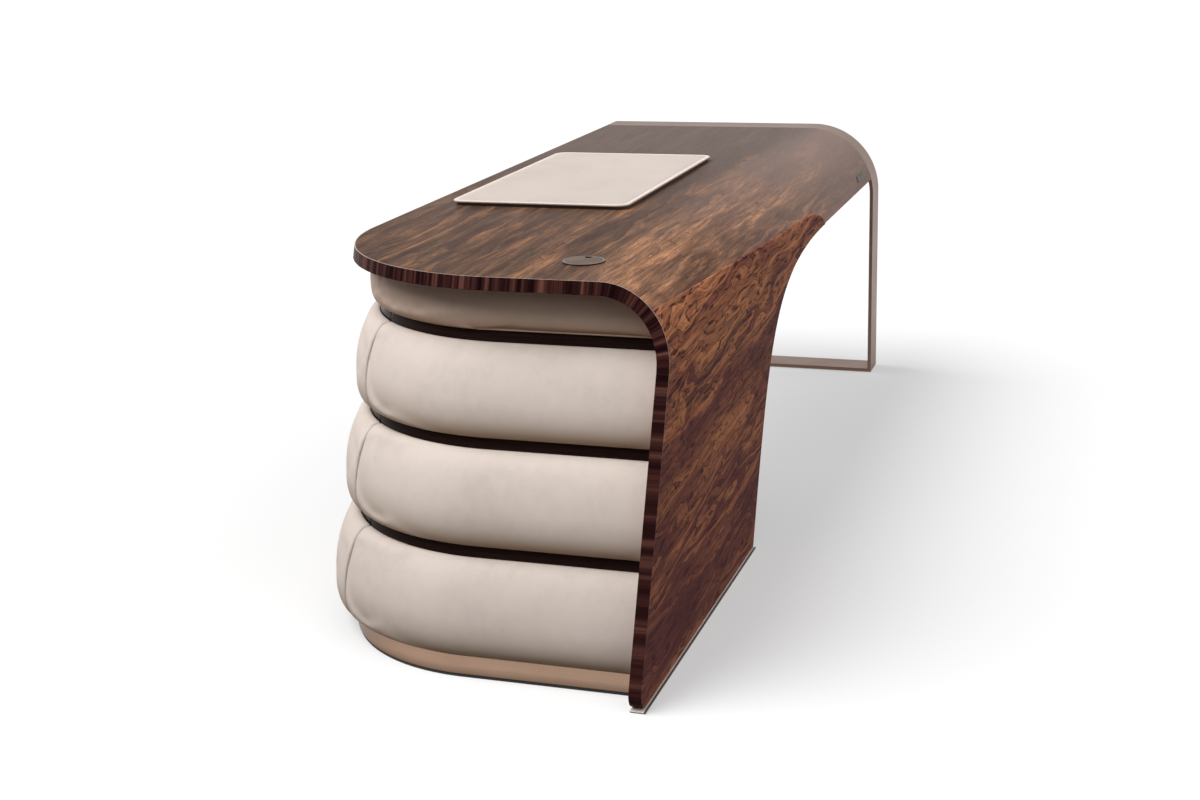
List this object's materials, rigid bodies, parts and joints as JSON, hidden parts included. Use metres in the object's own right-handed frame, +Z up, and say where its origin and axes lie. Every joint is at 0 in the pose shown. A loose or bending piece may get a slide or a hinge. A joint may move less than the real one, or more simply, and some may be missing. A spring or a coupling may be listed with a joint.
{
  "type": "executive desk",
  "caption": "Executive desk with a moulded veneer top that bends down into a swept side panel, a leaning drawer pedestal wrapped in padded leather bands, and a flat-bar metal end frame.",
  "frame": {"origin": "centre of the footprint on the floor", "axes": "+X along the desk toward the metal end frame, +Y toward the user, +Z up"},
  "size_m": [2.54, 0.839, 0.762],
  "materials": {
    "top_veneer": "satin figured veneer",
    "panel_veneer": "satin figured veneer",
    "edge_veneer": "dark cross-grain veneer",
    "dark_lacquer": "gloss dark lacquer",
    "drawer_wood": "matt oiled wood",
    "band_leather": "pale soft leather",
    "pad_leather": "pale smooth leather",
    "pad_base": "matt dark board",
    "bronze": "satin taupe bronze",
    "copper_trim": "satin copper bronze",
    "dark_foot": "matt black",
    "steel": "bright zinc plated"
  },
  "bodies": {
    "desk": {"apron_band": "band_leather", "badge_plate": "bronze", "desk_top": "top_veneer", "divider_1": "dark_lacquer", "divider_2": "dark_lacquer", "divider_3": "dark_lacquer", "edge_veneer": "edge_veneer", "end_frame_bent_bar": "bronze", "end_frame_floor_bar": "bronze", "end_frame_glides": "dark_foot", "end_frame_plate": "steel", "end_frame_screws": "steel", "end_frame_user_post": "bronze", "far_band_1": "band_leather", "far_band_2": "band_leather", "far_band_3": "band_leather", "fixed_rails": "steel", "grommet_ring": "bronze", "near_band_1": "band_leather", "near_band_2": "band_leather", "near_band_3": "band_leather", "panel_foot": "dark_foot", "panel_trim": "copper_trim", "pedestal_apron_board": "dark_lacquer", "pedestal_back": "dark_lacquer", "pedestal_base_board": "dark_lacquer", "pedestal_far_wall": "dark_lacquer", "pedestal_near_wall": "dark_lacquer", "pedestal_screws": "steel", "pedestal_top_board": "dark_lacquer", "plinth_foot": "dark_foot", "plinth_skirt": "copper_trim", "side_panel": "panel_veneer", "writing_pad": "pad_leather", "writing_pad_base": "pad_base"},
    "grommet_cap": {"grommet_cap": "bronze"},
    "drawer_1": {"drawer_1_back": "drawer_wood", "drawer_1_band": "band_leather", "drawer_1_bottom": "drawer_wood", "drawer_1_front": "dark_lacquer", "drawer_1_rails": "steel", "drawer_1_side_far": "drawer_wood", "drawer_1_side_near": "drawer_wood"},
    "middle_rails_1": {"middle_rails_1": "steel"},
    "drawer_2": {"drawer_2_back": "drawer_wood", "drawer_2_band": "band_leather", "drawer_2_bottom": "drawer_wood", "drawer_2_front": "dark_lacquer", "drawer_2_rails": "steel", "drawer_2_side_far": "drawer_wood", "drawer_2_side_near": "drawer_wood"},
    "middle_rails_2": {"middle_rails_2": "steel"},
    "drawer_3": {"drawer_3_back": "drawer_wood", "drawer_3_band": "band_leather", "drawer_3_bottom": "drawer_wood", "drawer_3_front": "dark_lacquer", "drawer_3_rails": "steel", "drawer_3_side_far": "drawer_wood", "drawer_3_side_near": "drawer_wood"},
    "middle_rails_3": {"middle_rails_3": "steel"}
  },
  "joints": [
    {"name": "drawer_1_slide", "type": "slide", "parent": "desk", "child": "drawer_1", "axis": [0, 1, 0], "range_m": [0, 0.5]},
    {"name": "middle_rails_1_slide", "type": "slide", "parent": "desk", "child": "middle_rails_1", "axis": [0, 1, 0], "range_m": [0, 0.25]},
    {"name": "drawer_2_slide", "type": "slide", "parent": "desk", "child": "drawer_2", "axis": [0, 1, 0], "range_m": [0, 0.5]},
    {"name": "middle_rails_2_slide", "type": "slide", "parent": "desk", "child": "middle_rails_2", "axis": [0, 1, 0], "range_m": [0, 0.25]},
    {"name": "drawer_3_slide", "type": "slide", "parent": "desk", "child": "drawer_3", "axis": [0, 1, 0], "range_m": [0, 0.5]},
    {"name": "middle_rails_3_slide", "type": "slide", "parent": "desk", "child": "middle_rails_3", "axis": [0, 1, 0], "range_m": [0, 0.25]},
    {"name": "grommet_cap_turn", "type": "hinge", "parent": "desk", "child": "grommet_cap", "pos_m": [-0.80999, -0.1695, 0.75], "axis": [0, 0, 1], "continuous": true}
  ],
  "couplings": [
    {"joint": "middle_rails_1_slide", "follows": "drawer_1_slide", "ratio": 0.5},
    {"joint": "middle_rails_2_slide", "follows": "drawer_2_slide", "ratio": 0.5},
    {"joint": "middle_rails_3_slide", "follows": "drawer_3_slide", "ratio": 0.5}
  ]
}
